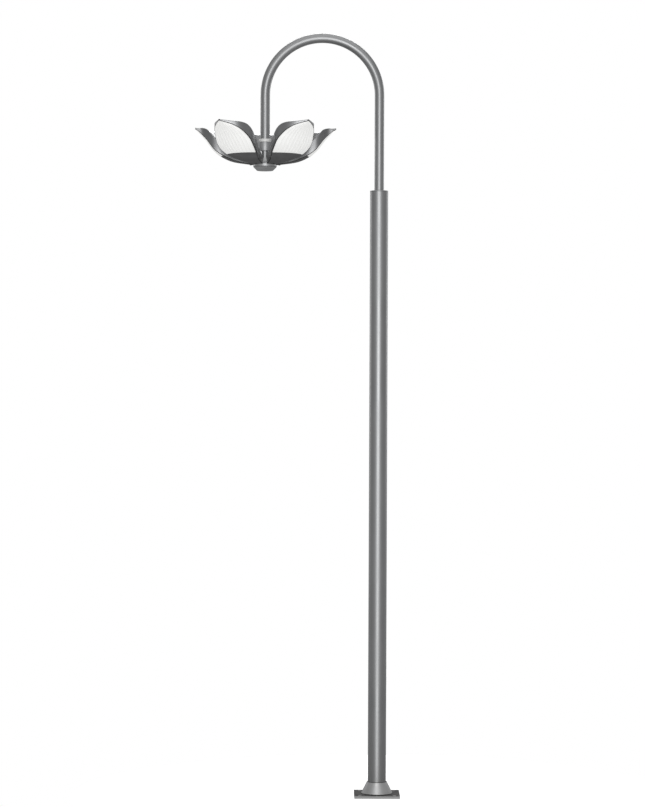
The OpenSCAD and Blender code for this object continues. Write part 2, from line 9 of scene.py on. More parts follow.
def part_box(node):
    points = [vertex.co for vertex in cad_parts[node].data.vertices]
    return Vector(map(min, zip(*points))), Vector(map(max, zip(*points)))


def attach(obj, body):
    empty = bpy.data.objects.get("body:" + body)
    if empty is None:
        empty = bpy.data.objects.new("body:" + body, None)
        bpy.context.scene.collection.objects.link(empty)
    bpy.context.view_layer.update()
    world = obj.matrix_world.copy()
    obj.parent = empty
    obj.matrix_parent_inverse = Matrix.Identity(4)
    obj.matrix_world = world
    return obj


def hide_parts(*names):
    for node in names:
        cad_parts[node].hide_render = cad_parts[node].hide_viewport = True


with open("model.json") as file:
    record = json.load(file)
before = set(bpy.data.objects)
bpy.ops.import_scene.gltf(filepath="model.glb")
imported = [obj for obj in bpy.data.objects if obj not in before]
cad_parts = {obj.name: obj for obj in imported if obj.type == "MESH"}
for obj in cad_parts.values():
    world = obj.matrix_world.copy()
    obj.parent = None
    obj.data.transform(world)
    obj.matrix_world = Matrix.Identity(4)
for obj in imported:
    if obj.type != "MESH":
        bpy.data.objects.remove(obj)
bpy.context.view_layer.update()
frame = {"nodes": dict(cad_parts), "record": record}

cad_nodes = frame["nodes"]


# ---- Studio --------------------------------------------------------------------------------
# A long lens stands well back from the post, at half its height, and looks straight across.
# The floor is a round pale sheet that throws little light back up. Soft boxes light the post
# from the front, from above and from behind.
camera_distance = 13.83
camera_height = 2.057
camera_side = -0.293
camera_roll = -0.23
lens_mm = 117.5

camera_data = bpy.data.cameras.new("studio_camera")
camera_data.lens = lens_mm
camera_data.clip_end = 500
camera = bpy.data.objects.new("studio_camera", camera_data)
camera.location = (camera_side, -camera_distance, camera_height)
camera.rotation_euler = (pi / 2, radians(camera_roll), 0)
bpy.context.scene.collection.objects.link(camera)
bpy.context.scene.camera = camera
bpy.context.scene.view_settings.view_transform = "Standard"


def soft_box(name, place, aim, width, height, power):
    """A rectangular studio light that faces a point."""
    data = bpy.data.lights.new(name, "AREA")
    data.shape = "RECTANGLE"
    data.size, data.size_y, data.energy = width, height, power
    light = bpy.data.objects.new(name, data)
    light.location = place
    light.rotation_euler = (Vector(aim) - Vector(place)).to_track_quat("-Z", "Y").to_euler()
    bpy.context.scene.collection.objects.link(light)


middle = (-0.3, 0, 2.0)
soft_box("front_box", (-0.3, -11, 2.4), middle, 3.8, 7, 500)
soft_box("overhead_box", (0, -2, 9), (-0.3, 0, 0), 8, 8, 130)
soft_box("rear_box", (-0.3, 8, 9), middle, 5, 4, 420)
soft_box("rear_left_box", (-8, 7, 4), middle, 3, 5, 110)
soft_box("rear_right_box", (8, 7, 4), middle, 3, 5, 110)

room_strength = 0.3
world = bpy.data.worlds.new("white_room")
world.use_nodes = True
bpy.context.scene.world = world
world_nodes, world_links = world.node_tree.nodes, world.node_tree.links
world_nodes.clear()
seen_white = world_nodes.new("ShaderNodeBackground")
seen_white.inputs["Color"].default_value = (1, 1, 1, 1)
seen_white.inputs["Strength"].default_value = 1
room_grey = world_nodes.new("ShaderNodeBackground")
room_grey.inputs["Color"].default_value = (1, 1, 1, 1)
room_grey.inputs["Strength"].default_value = room_strength
ray_kind = world_nodes.new("ShaderNodeLightPath")
room_mix = world_nodes.new("ShaderNodeMixShader")
room_out = world_nodes.new("ShaderNodeOutputWorld")
world_links.new(ray_kind.outputs["Is Camera Ray"], room_mix.inputs["Fac"])
world_links.new(room_grey.outputs[0], room_mix.inputs[1])
world_links.new(seen_white.outputs[0], room_mix.inputs[2])
world_links.new(room_mix.outputs[0], room_out.inputs["Surface"])

floor_radius, paper_glow = 1.6, 0.6
bpy.ops.object.select_all(action="DESELECT")
bpy.ops.mesh.primitive_circle_add(vertices=96, radius=floor_radius, fill_type="NGON")
floor = bpy.context.object
floor.name = "studio_floor"
floor_paper = bpy.data.materials.new("floor_paper")
floor_paper.use_nodes = True
paper_shader = floor_paper.node_tree.nodes["Principled BSDF"]
paper_shader.inputs["Base Color"].default_value = (0.93, 0.93, 0.93, 1)
paper_shader.inputs["Roughness"].default_value = 0.9
paper_shader.inputs["Specular IOR Level"].default_value = 0.1
paper_shader.inputs["Emission Color"].default_value = (1, 1, 1, 1)
paper_shader.inputs["Emission Strength"].default_value = paper_glow
paper_nodes, paper_links = floor_paper.node_tree.nodes, floor_paper.node_tree.links
dim_bounce = paper_nodes.new("ShaderNodeBsdfDiffuse")
dim_bounce.inputs["Color"].default_value = (0.3, 0.3, 0.3, 1)
paper_ray = paper_nodes.new("ShaderNodeLightPath")
paper_mix = paper_nodes.new("ShaderNodeMixShader")
paper_links.new(paper_ray.outputs["Is Camera Ray"], paper_mix.inputs["Fac"])
paper_links.new(dim_bounce.outputs[0], paper_mix.inputs[1])
paper_links.new(paper_shader.outputs[0], paper_mix.inputs[2])
paper_links.new(paper_mix.outputs[0], paper_nodes["Material Output"].inputs["Surface"])
floor.data.materials.append(floor_paper)


# ---- Base plate and its welds --------------------------------------------------------------
# A laser-cut steel plate with four anchor holes carries welded ribs under the collar. Its top
# and underside are coated dark grey, and its faces that look sideways are painted pale: painted
# light that makes them look lit. Road dust settles low on the post, so the dust effect starts
# here.
def effect_group(name, inputs, outputs):
    """A shader node group with float inputs (name to default) and named outputs."""
    tree = bpy.data.node_groups.new(name, "ShaderNodeTree")
    for label, value in inputs.items():
        socket = tree.interface.new_socket(label, in_out="INPUT",
                                           socket_type="NodeSocketFloat")
        socket.default_value = value
    for label in outputs:
        tree.interface.new_socket(label, in_out="OUTPUT", socket_type="NodeSocketFloat")
    return tree, tree.nodes.new("NodeGroupInput"), tree.nodes.new("NodeGroupOutput")


def noise(tree, place, scale, detail):
    """A cloud of noise, with its scale as a number or as a socket."""
    node = tree.nodes.new("ShaderNodeTexNoise")
    tree.links.new(place, node.inputs["Vector"])
    if isinstance(scale, float):
        node.inputs["Scale"].default_value = scale
    else:
        tree.links.new(scale, node.inputs["Scale"])
    node.inputs["Detail"].default_value = detail
    return node.outputs["Fac"]


def remap(tree, value, low, high, new_low, new_high):
    """Stretches a value from one range to another."""
    node = tree.nodes.new("ShaderNodeMapRange")
    tree.links.new(value, node.inputs["Value"])
    for label, number in zip(("From Min", "From Max", "To Min", "To Max"),
                             (low, high, new_low, new_high)):
        node.inputs[label].default_value = number
    return node.outputs["Result"]


def arithmetic(tree, operation, first, second):
    """A Math node on two values, each a number or a socket."""
    node = tree.nodes.new("ShaderNodeMath")
    node.operation = operation
    for socket, value in zip(node.inputs, (first, second)):
        if isinstance(value, (int, float)):
            socket.default_value = value
        else:
            tree.links.new(value, socket)
    return node.outputs["Value"]


coat_grain, grain_in, grain_out = effect_group(
    "coat_grain", {"Grain": 420.0, "Mottle": 9.0}, ("Tone", "Height"))
grain_place = coat_grain.nodes.new("ShaderNodeTexCoord").outputs["Object"]
coat_grain.links.new(noise(coat_grain, grain_place, grain_in.outputs["Grain"], 2.0),
                     grain_out.inputs["Height"])
coat_grain.links.new(remap(coat_grain, noise(coat_grain, grain_place,
                                             grain_in.outputs["Mottle"], 6.0),
                           0.3, 0.7, 0, 1), grain_out.inputs["Tone"])

ground_dust, dust_in, dust_out = effect_group(
    "ground_dust", {"Reach": 0.35, "Amount": 0.5}, ("Mask",))
dust_place = ground_dust.nodes.new("ShaderNodeTexCoord").outputs["Object"]
dust_axes = ground_dust.nodes.new("ShaderNodeSeparateXYZ")
ground_dust.links.new(dust_place, dust_axes.inputs[0])
dust_fall = arithmetic(ground_dust, "DIVIDE", dust_axes.outputs["Z"], dust_in.outputs["Reach"])
dust_near = arithmetic(ground_dust, "MAXIMUM",
                       arithmetic(ground_dust, "SUBTRACT", 1.0, dust_fall), 0.0)
dust_cloud = remap(ground_dust, noise(ground_dust, dust_place, 26.0, 8.0), 0.35, 0.7, 0, 1)
dust_share = arithmetic(ground_dust, "MULTIPLY", dust_near, dust_cloud)
ground_dust.links.new(arithmetic(ground_dust, "MULTIPLY", dust_share,
                                 dust_in.outputs["Amount"]), dust_out.inputs["Mask"])


def place_group(material, tree, **values):
    """Places an effect in a material, with the material's own values."""
    node = material.node_tree.nodes.new("ShaderNodeGroup")
    node.node_tree = tree
    for label, value in values.items():
        node.inputs[label].default_value = value
    return node


def mix_colour(material, mask, first, second):
    """Mixes two colours by a mask."""
    node = material.node_tree.nodes.new("ShaderNodeMix")
    node.data_type = "RGBA"
    material.node_tree.links.new(mask, node.inputs["Factor"])
    for socket, value in ((node.inputs[6], first), (node.inputs[7], second)):
        if isinstance(value, tuple):
            socket.default_value = (*value, 1)
        else:
            material.node_tree.links.new(value, socket)
    return node.outputs[2]


def add_bump(material, height, strength, depth):
    """Lets a height pattern rough up the surface."""
    node = material.node_tree.nodes.new("ShaderNodeBump")
    node.inputs["Strength"].default_value = strength
    node.inputs["Distance"].default_value = depth
    material.node_tree.links.new(height, node.inputs["Height"])
    material.node_tree.links.new(
        node.outputs["Normal"],
        material.node_tree.nodes["Principled BSDF"].inputs["Normal"])


road_dust = (0.42, 0.39, 0.35)
coat_depth, coat_spread = 0.0006, 0.12


def coated(name, dark, light, metallic, rough, grain=420.0, mottle=9.0, bump=0.12, dust=0.0):
    """Powder or spray coat: two close tones, a fine orange-peel grain and dust near the ground."""
    material = bpy.data.materials.new(name)
    material.use_nodes = True
    links = material.node_tree.links
    shader = material.node_tree.nodes["Principled BSDF"]
    shader.inputs["Metallic"].default_value = metallic
    coat = place_group(material, coat_grain, Grain=grain, Mottle=mottle)
    colour = mix_colour(material, coat.outputs["Tone"], dark, light)
    if dust:
        film = place_group(material, ground_dust, Amount=dust)
        colour = mix_colour(material, film.outputs["Mask"], colour, road_dust)
    links.new(colour, shader.inputs["Base Color"])
    links.new(remap(material.node_tree, coat.outputs["Tone"], 0, 1,
                    rough * (1 - coat_spread), rough * (1 + coat_spread)),
              shader.inputs["Roughness"])
    add_bump(material, coat.outputs["Height"], bump, coat_depth)
    return material


def finish_nodes(material, *names):
    """Puts a finish on CAD nodes, which keep their own mesh."""
    for name in names:
        slots = cad_nodes[name].data.materials
        slots.clear()
        slots.append(material)


# A face that looks sideways is painted pale, as painted light; one that looks up or down carries
# the dark coat.
side_face_painted_light = (0.5, 0.5, 0.502)
level_low, level_high = 0.2, 0.8
plate_coat = coated("plate_coat", (0.03, 0.03, 0.031), (0.055, 0.055, 0.056), 0.0, 0.7,
                    dust=0.1)
plate_tree = plate_coat.node_tree
plate_shader = plate_tree.nodes["Principled BSDF"]
plate_shader.inputs["Specular IOR Level"].default_value = 0.25
plate_facing = plate_tree.nodes.new("ShaderNodeSeparateXYZ")
plate_tree.links.new(plate_tree.nodes.new("ShaderNodeTexCoord").outputs["Normal"],
                     plate_facing.inputs[0])
plate_level = arithmetic(plate_tree, "ABSOLUTE", plate_facing.outputs["Z"], 0.0)
side_face_light_mask = remap(plate_tree, plate_level, level_low, level_high, 1, 0)
plate_face_colour = plate_shader.inputs["Base Color"].links[0].from_socket
plate_tree.links.new(mix_colour(plate_coat, side_face_light_mask, plate_face_colour, side_face_painted_light),
                     plate_shader.inputs["Base Color"])
finish_nodes(plate_coat, "base_plate")
frame_coat = coated("frame_coat", (0.1, 0.1, 0.103), (0.15, 0.15, 0.153), 0.5, 0.45)
finish_nodes(frame_coat, "base_gussets")


# ---- Collar, pole and cap ------------------------------------------------------------------
# Silver powder coat over galvanised steel tube. The collar is a spun cone that slides down
# the pole and hides the weld. Black rubber rings seal it at its top and its foot, and one
# wipes the gooseneck where it leaves the cap. The top ring's black also stands in for the
# shadow line where the pole enters the collar, as painted shade.
silver_coat = coated("silver_coat", (0.36, 0.365, 0.37), (0.4, 0.405, 0.41), 0.85, 0.45,
                     grain=650.0, mottle=3.0, bump=0.03, dust=0.1)
finish_nodes(silver_coat, "pole_door_section", "pole_tube", "door_panel", "gooseneck_tube",
             "lantern_stem")
collar_coat = coated("collar_coat", (0.52, 0.525, 0.53), (0.58, 0.585, 0.59), 0.6, 0.5,
                     grain=650.0, bump=0.05, dust=0.15)


def moulded(name, dark, light, rough, grain=260.0, mottle=20.0, bump=0.15):
    """Moulded plastic or rubber: nearly one tone, with a fine spark-eroded grain."""
    return coated(name, dark, light, 0.0, rough, grain, mottle, bump)


black_rubber = moulded("black_rubber", (0.012, 0.012, 0.012), (0.03, 0.03, 0.03), 0.6)
finish_nodes(black_rubber, "door_gasket", "hub_gasket", "cable_glands", "supply_cable",
             "riser_cable", "arm_cable")


turn_steps, weld_gap, edge_steps = 96, 0.00002, 3


def turned(name, outline, rounding, material, body, replaced=None, place=None):
    """Spins a closed outline of (radius, height) points round Z, and rounds its sharp edges."""
    bpy.ops.object.select_all(action="DESELECT")
    bpy.ops.mesh.primitive_circle_add(vertices=len(outline), radius=1)
    piece = bpy.context.object
    piece.name = name
    bpy.ops.object.mode_set(mode="EDIT")
    section = bmesh.from_edit_mesh(piece.data)
    section.verts.ensure_lookup_table()
    for vertex, (radius, height) in zip(section.verts, outline):
        vertex.co = (radius, 0, height)
    bmesh.update_edit_mesh(piece.data)
    bpy.ops.mesh.select_all(action="SELECT")
    bpy.ops.mesh.spin(steps=turn_steps, angle=2 * pi, center=(0, 0, 0), axis=(0, 0, 1))
    bpy.ops.mesh.select_all(action="SELECT")
    bpy.ops.mesh.remove_doubles(threshold=weld_gap)
    bpy.ops.mesh.delete_loose()
    bpy.ops.mesh.select_all(action="SELECT")
    bpy.ops.mesh.normals_make_consistent(inside=False)
    bpy.ops.object.mode_set(mode="OBJECT")
    edges = piece.modifiers.new("edges", "BEVEL")
    edges.width, edges.segments = rounding, edge_steps
    edges.limit_method, edges.angle_limit = "ANGLE", radians(30)
    bpy.ops.object.modifier_apply(modifier=edges.name)
    bpy.ops.object.shade_smooth_by_angle(angle=radians(40))
    if place:
        piece.data.transform(place)
    piece.data.materials.append(material)
    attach(piece, body)
    if replaced:
        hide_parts(replaced)


def rubber_ring(name, radius, thickness, height):
    """A seal that lies where a tube leaves a cap or a collar, pressed a little flat."""
    bpy.ops.object.select_all(action="DESELECT")
    bpy.ops.mesh.primitive_torus_add(major_radius=radius, minor_radius=thickness / 2,
                                     major_segments=turn_steps, minor_segments=12,
                                     location=(0, 0, height))
    ring = bpy.context.object
    ring.name = name
    bpy.ops.transform.resize(value=(1, 1, 0.7), center_override=(0, 0, height))
    bpy.ops.object.transform_apply(location=True, rotation=True, scale=True)
    bpy.ops.object.shade_smooth()
    ring.data.materials.append(black_rubber)
    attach(ring, "pole")


pole_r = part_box("pole_tube")[1].x
pole_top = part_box("pole_cap")[1].z
tube_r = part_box("gooseneck_tube")[1].x
plate_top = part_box("base_plate")[1].z
collar_top, collar_foot_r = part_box("base_collar")[1].z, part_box("base_collar")[1].x
collar_wall, collar_lip, lip_h, collar_play = 0.004, 0.007, 0.003, 0.0003
collar_bore, collar_top_r = pole_r + collar_play, pole_r + collar_lip
collar_rounding, cap_rounding = 0.0009, 0.0018
inner_top = collar_top - collar_wall - lip_h
inner_foot_r, inner_foot = collar_foot_r - collar_wall, plate_top + collar_wall
turned("spun_collar", [
    (collar_bore, inner_top), (collar_bore, collar_top), (collar_top_r, collar_top),
    (collar_top_r, collar_top - lip_h), (collar_foot_r, inner_foot),
    (collar_foot_r, plate_top), (inner_foot_r, plate_top), (inner_foot_r, inner_foot),
    (collar_top_r - collar_wall, inner_top)],
    collar_rounding, collar_coat, "pole", "base_collar")
cap_play = 0.0004
cap_bore, cap_low = tube_r + cap_play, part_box("pole_cap")[0].z
turned("rounded_cap", [(cap_bore, cap_low), (pole_r, cap_low), (pole_r, pole_top),
                       (cap_bore, pole_top)],
       cap_rounding, silver_coat, "pole", "pole_cap")

# Each ring: the radius it seals, how far out it sits, its thickness, its seat and its lift.
for name, sealed_r, outset, thickness, seat, lift in (
        # The collar ring is a seal, and its black also paints the shadow line where the pole
        # enters the collar.
        ("collar_shadow_seal", pole_r, 0.0018, 0.005, collar_top, 0.0004),
        ("foot_seal", collar_foot_r, 0.0006, 0.004, plate_top, 0.0014),
        ("cap_wiper", tube_r, 0.0022, 0.0036, pole_top, 0.0004)):
    rubber_ring(name, sealed_r + outset, thickness, seat + lift)


# ---- Guides, screws and door hardware ------------------------------------------------------
# Turned aluminium guides carry the gooseneck; the screws, hinge pin and lock are zinc plated.
# The hinge leaves and the door frame wear the same grey coat as the ribs. A turned rosette
# covers the lock's hole in the door.
line_stretch, line_depth, line_bump, line_spread = 0.04, 0.0003, 0.15, 0.15
brushed_lines, brushed_in, brushed_out = effect_group(
    "brushed_lines", {"Lines": 900.0}, ("Tone", "Height"))
brushed_place = brushed_lines.nodes.new("ShaderNodeTexCoord").outputs["Object"]
brushed_stretch = brushed_lines.nodes.new("ShaderNodeMapping")
brushed_stretch.inputs["Scale"].default_value = (line_stretch, line_stretch, 1)
brushed_lines.links.new(brushed_place, brushed_stretch.inputs["Vector"])
brushed_noise = noise(brushed_lines, brushed_stretch.outputs["Vector"],
                      brushed_in.outputs["Lines"], 3.0)
brushed_lines.links.new(brushed_noise, brushed_out.inputs["Height"])
brushed_lines.links.new(remap(brushed_lines, brushed_noise, 0.3, 0.7, 0, 1),
                        brushed_out.inputs["Tone"])


def bare_metal(name, dark, light, rough, lines=900.0):
    """Turned or brushed metal with fine lines around its axis."""
    material = bpy.data.materials.new(name)
    material.use_nodes = True
    shader = material.node_tree.nodes["Principled BSDF"]
    shader.inputs["Metallic"].default_value = 1.0
    brush = place_group(material, brushed_lines, Lines=lines)
    material.node_tree.links.new(mix_colour(material, brush.outputs["Tone"], dark, light),
                                 shader.inputs["Base Color"])
    material.node_tree.links.new(
        remap(material.node_tree, brush.outputs["Tone"], 0, 1,
              rough * (1 - line_spread), rough * (1 + line_spread)),
        shader.inputs["Roughness"])
    add_bump(material, brush.outputs["Height"], line_bump, line_depth)
    return material


finish_nodes(frame_coat, "door_frame", "hinge_fixed_leaf", "hinge_door_leaf", "petal_brackets")
finish_nodes(bare_metal("turned_aluminium", (0.6, 0.61, 0.63), (0.78, 0.79, 0.8), 0.3),
             "upper_guide_ring", "lower_guide_ring")
zinc_plate = bare_metal("zinc_plate", (0.45, 0.46, 0.47), (0.62, 0.63, 0.64), 0.34, 500.0)
finish_nodes(zinc_plate, "arm_set_screws", "hinge_pin", "lock_barrel", "lock_cam",
             "collar_screws", "hollow_rod", "rod_nuts", "petal_nuts")
finish_nodes(coated("lock_coat", (0.04, 0.04, 0.042), (0.07, 0.07, 0.072), 0.3, 0.4),
             "lock_housing")

lock_joint = next(joint for joint in frame["record"]["behaviour"]["joints"]
                  if joint["name"] == "lock_turn")
lock_line = Vector(lock_joint["axis"])
lock_middle = Vector((lock_line.x * pole_r, lock_line.y * pole_r, lock_joint["pos_m"][2]))
lock_r, rosette_r, rosette_sunk, rosette_proud = 0.0072, 0.0118, 0.0016, 0.0009
rosette_slope, rosette_rounding = 0.0015, 0.0003
turned("lock_rosette", [(lock_r, -rosette_sunk), (rosette_r, -rosette_sunk), (rosette_r, 0),
                        (rosette_r - rosette_slope, rosette_proud), (lock_r, rosette_proud)],
       rosette_rounding, zinc_plate, "door",
       place=Matrix.Translation(lock_middle) @ lock_line.to_track_quat("Z", "Y").to_matrix()
       .to_4x4())


# ---- Terminals -----------------------------------------------------------------------------
# A laminate board behind the door carries a grey terminal box with its blocks and fuse.
# Brass stud and nuts below it bond the post to earth.
laminate = moulded("laminate", (0.2, 0.11, 0.05), (0.3, 0.18, 0.09), 0.45, 90.0, 40.0, 0.2)
finish_nodes(laminate, "terminal_board")
grey_plastic = moulded("grey_plastic", (0.42, 0.43, 0.43), (0.48, 0.49, 0.49), 0.4)
finish_nodes(grey_plastic, "terminal_box", "terminal_lid", "led_driver")
ivory_plastic = moulded("ivory_plastic", (0.72, 0.69, 0.58), (0.8, 0.77, 0.67), 0.35)
finish_nodes(ivory_plastic, "terminal_blocks", "fuse_carrier", "petal_leads")
brass = bare_metal("brass", (0.62, 0.42, 0.13), (0.8, 0.6, 0.24), 0.28)
finish_nodes(brass, "earth_stud", "earth_nuts")

screw_head_r, screw_head_h, slot_depth, slot_half = 0.0036, 0.0019, 0.0008, 0.000576
lid_inset = 0.007
lid_low, lid_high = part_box("terminal_lid")
lid_corners = [(x, lid_high.y, z) for x in (lid_low.x + lid_inset, lid_high.x - lid_inset)
               for z in (lid_low.z + lid_inset, lid_high.z - lid_inset)]

# Cheese-head screws hold the lid. Each is a disc that faces +Y, slotted across by a sunk strip.
for number, (x, y, z) in enumerate(lid_corners, 1):
    bpy.ops.object.select_all(action="DESELECT")
    bpy.ops.mesh.primitive_cylinder_add(vertices=32, radius=screw_head_r, depth=screw_head_h,
                                        location=(x, y + screw_head_h / 2, z),
                                        rotation=(-pi / 2, 0, 0))
    screw = bpy.context.object
    screw.name = f"lid_screw_{number}"
    bpy.ops.object.transform_apply(location=True, rotation=True, scale=True)
    bpy.ops.object.mode_set(mode="EDIT")
    for offset in (-slot_half, slot_half):
        bpy.ops.mesh.select_all(action="SELECT")
        bpy.ops.mesh.bisect(plane_co=(x, y, z + offset), plane_no=(0, 0, 1))
    bpy.ops.mesh.select_mode(type="FACE")
    bpy.ops.mesh.select_all(action="DESELECT")
    for face in bmesh.from_edit_mesh(screw.data).faces:
        middle_z = face.calc_center_median().z
        face.select_set(face.normal.y > 0.9 and abs(middle_z - z) < slot_half / 2)
    bpy.ops.mesh.extrude_region_move(
        TRANSFORM_OT_translate={"value": (0, -slot_depth, 0)})
    bpy.ops.object.mode_set(mode="OBJECT")
    bpy.ops.object.shade_smooth_by_angle(angle=radians(35))
    screw.data.materials.append(zinc_plate)
    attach(screw, "pole")


# ---- Lantern body --------------------------------------------------------------------------
# A white nylon ring closes the tube's end. The clamp collar, flared hub and cap are cast
# aluminium, painted a lighter grey than the post: painted light that brightens the flare where
# it sits in the petals' shade. The stem is the same silver tube as the gooseneck.
white_nylon = moulded("white_nylon", (0.82, 0.82, 0.81), (0.9, 0.9, 0.89), 0.3, bump=0.05)
# Lighter than the post's grey: painted light for the shaded flare.
cast_coat_painted_light = coated("cast_coat_painted_light", (0.44, 0.445, 0.45), (0.5, 0.505, 0.51), 0.7, 0.48,
                   grain=300.0, bump=0.05)

head_low, head_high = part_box("clamp_collar")
head_x = (head_low.x + head_high.x) / 2
at_head = Matrix.Translation((head_x, 0, 0))
ring_low, ring_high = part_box("bearing_ring")
ring_play, ring_rounding = 0.0003, 0.002
ring_bore, ring_r = tube_r + ring_play, ring_high.x - head_x
turned("nylon_ring", [(ring_bore, ring_low.z), (ring_r, ring_low.z), (ring_r, ring_high.z),
                      (ring_bore, ring_high.z)],
       ring_rounding, white_nylon, "lantern", "bearing_ring", at_head)

clamp_play, clamp_floor_t, clamp_rounding = 0.00008, 0.008, 0.0014
rod_bore, clamp_bore, clamp_r = 0.0081, tube_r + clamp_play, head_high.x - head_x
clamp_floor = head_low.z + clamp_floor_t
turned("cast_clamp", [(rod_bore, head_low.z), (clamp_r, head_low.z), (clamp_r, head_high.z),
                      (clamp_bore, head_high.z), (clamp_bore, clamp_floor),
                      (rod_bore, clamp_floor)],
       clamp_rounding, cast_coat_painted_light, "lantern", "clamp_collar", at_head)

hub_low, hub_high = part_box("hub_body")
hub_r, stem_r = hub_high.x - head_x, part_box("lantern_stem")[1].x - head_x
stem_wall, hub_rounding = 0.003, 0.0009
stem_bore = stem_r - stem_wall
flare_h, rim_h, web, hub_wall, foot_t = 0.031, 0.016, 0.006, 0.006, 0.002
rim_top = hub_low.z + rim_h
arc_r = flare_h - foot_t
foot_r = stem_r + arc_r
flare_steps = 14
flare = []
for k in range(flare_steps + 1):
    turn = pi / 2 * k / flare_steps
    flare.append((foot_r - arc_r * sin(turn), hub_high.z - arc_r * cos(turn)))
turned("flared_hub", [
    (rod_bore, rim_top - web), (hub_r - hub_wall, rim_top - web),
    (hub_r - hub_wall, hub_low.z), (hub_r, hub_low.z), (hub_r, rim_top), (foot_r, rim_top),
    *flare, (stem_bore, hub_high.z), (stem_bore, rim_top), (rod_bore, rim_top)],
    hub_rounding, cast_coat_painted_light, "lantern", "hub_body", at_head)

cap_bottom, cap_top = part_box("hub_cap")
flat_r, cap_floor, cap_wall_lean, dish_rounding = 0.042, 0.004, 0.002, 0.0022
turned("dished_cap", [
    (0, cap_bottom.z), (flat_r, cap_bottom.z), (hub_r, cap_top.z),
    (hub_r - hub_wall, cap_top.z), (flat_r - cap_wall_lean, cap_bottom.z + cap_floor),
    (0, cap_bottom.z + cap_floor)],
    dish_rounding, cast_coat_painted_light, "lantern", "hub_cap", at_head)
bolt_black = coated("bolt_black", (0.015, 0.015, 0.015), (0.03, 0.03, 0.03), 0.5, 0.4)
finish_nodes(bolt_black, "petal_bolts")
finish_nodes(moulded("solder_mask", (0.7, 0.74, 0.7), (0.78, 0.82, 0.78), 0.3), "led_boards")


# ---- Petals --------------------------------------------------------------------------------
# Each petal is a pressed aluminium pan, open below, that an opal acrylic diffuser closes; a
# matte grey cover closes its root. A sheet is drawn row by row from the root to the tip: the
# row of points is extruded, moved to the next station and scaled to that station's size.
straight_pan = 2  # this petal points along +Y, so its box gives the petal's own sizes
pan_low, pan_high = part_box(f"petal_pan_{straight_pan}")
petal_reach = pan_high.y
petal_width = pan_high.x - pan_low.x
root_gap, tip_wall = 0.0004, 0.0014
petal_start = hub_r + root_gap
petal_run = petal_reach - petal_start
petal_root_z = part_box(f"petal_root_{straight_pan}")[0].z
flange_depth = 0.065
petal_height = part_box(f"petal_diffuser_{straight_pan}")[1].z - petal_root_z - tip_wall
petal_turn, petal_count = 18, 5
sheet, cover_gap = 0.002, 0.00025
diffuser_thick, root_thick = 0.0021, 0.0024

# Shares of the petal's own sizes at each station from root to tip: height, midrib's reach,
# edge's reach, half width, flange depth. A reach of 0 is at the petal's start by the hub.
petal_rows = [
    (0.000, 0.000, -0.006, 0.243, 0.65), (0.031, 0.147, 0.101, 0.393, 0.74),
    (0.097, 0.364, 0.260, 0.607, 0.92), (0.224, 0.530, 0.420, 0.874, 1.00),
    (0.372, 0.634, 0.542, 0.991, 0.98), (0.526, 0.713, 0.622, 1.000, 0.91),
    (0.663, 0.780, 0.695, 0.907, 0.80), (0.801, 0.860, 0.790, 0.748, 0.52),
    (0.913, 0.939, 0.887, 0.467, 0.22), (1.000, 1.000, 1.000, 0.028, 0.07)]
last_row = len(petal_rows) - 1
root_end = 3
steps = 6


def station(t):
    """Height, midrib reach, edge reach, half width and flange depth at station t, in metres."""
    i = min(int(t), last_row - 1)
    f = t - i
    a, b, c, d = (petal_rows[min(max(k, 0), last_row)] for k in (i - 1, i, i + 1, i + 2))
    height, mid, edge, half, flange = (
        0.5 * (2 * q + (r - p) * f + (2 * p - 5 * q + 4 * r - s) * f ** 2
               + (3 * q - p - 3 * r + s) * f ** 3)
        for p, q, r, s in zip(a, b, c, d))
    return (petal_root_z + petal_height * height, petal_start + petal_run * mid,
            petal_start + petal_run * edge, petal_width / 2 * half, flange_depth * flange)


def cover_station(t):
    """The same for a plate that lies between the pan's flanges."""
    z, mid, edge, half, flange = station(t)
    inner = max(half - min(sheet, 0.35 * half) - cover_gap, 0.5 * half)
    return z, mid, mid + (edge - mid) * (inner / half) ** 2, inner, flange


def draw_sheet(name, profile, start, end, sizes):
    """Extrudes a row of points from station to station. The profile gives each point as
    shares: bow towards the axis, place across, and lift over the flange's depth."""
    z, mid, edge, half, flange = sizes(start)
    bpy.ops.object.select_all(action="DESELECT")
    bpy.ops.mesh.primitive_grid_add(x_subdivisions=1, y_subdivisions=len(profile) - 1, size=1)
    drawn = bpy.context.object
    drawn.name = name
    bpy.ops.object.mode_set(mode="EDIT")
    bpy.ops.mesh.select_all(action="DESELECT")
    grid = bmesh.from_edit_mesh(drawn.data)
    for vertex in grid.verts:
        vertex.select_set(vertex.co.x > 0)
    bpy.ops.mesh.delete(type="VERT")
    grid = bmesh.from_edit_mesh(drawn.data)
    for vertex, (bow, across, lift) in zip(sorted(grid.verts, key=lambda v: v.co.y), profile):
        vertex.co = (mid - (mid - edge) * bow, half * across, z + flange * lift)
    bmesh.update_edit_mesh(drawn.data)
    bpy.ops.mesh.select_all(action="SELECT")
    for k in range(1, round((end - start) * steps) + 1):
        z2, mid2, edge2, half2, flange2 = sizes(start + k / steps)
        bpy.ops.mesh.extrude_edges_move(
            TRANSFORM_OT_translate={"value": (mid2 - mid, 0, z2 - z)})
        bow_ratio = (mid2 - edge2) / (mid - edge) if mid - edge > 1e-7 else 1
        bpy.ops.transform.resize(value=(bow_ratio, half2 / half, flange2 / flange),
                                 center_override=(mid2, 0, z2))
        z, mid, edge, half, flange = z2, mid2, edge2, half2, flange2
    bpy.ops.object.mode_set(mode="OBJECT")
    return drawn


def thicken(drawn, thickness, side):
    """Gives a drawn sheet its wall, with side -1 below the normals and +1 above them."""
    bpy.ops.object.select_all(action="DESELECT")
    drawn.select_set(True)
    bpy.context.view_layer.objects.active = drawn
    wall = drawn.modifiers.new("wall", "SOLIDIFY")
    wall.thickness, wall.offset = thickness, side
    bpy.ops.object.modifier_apply(modifier=wall.name)
    bpy.ops.object.shade_smooth_by_angle(angle=radians(35))


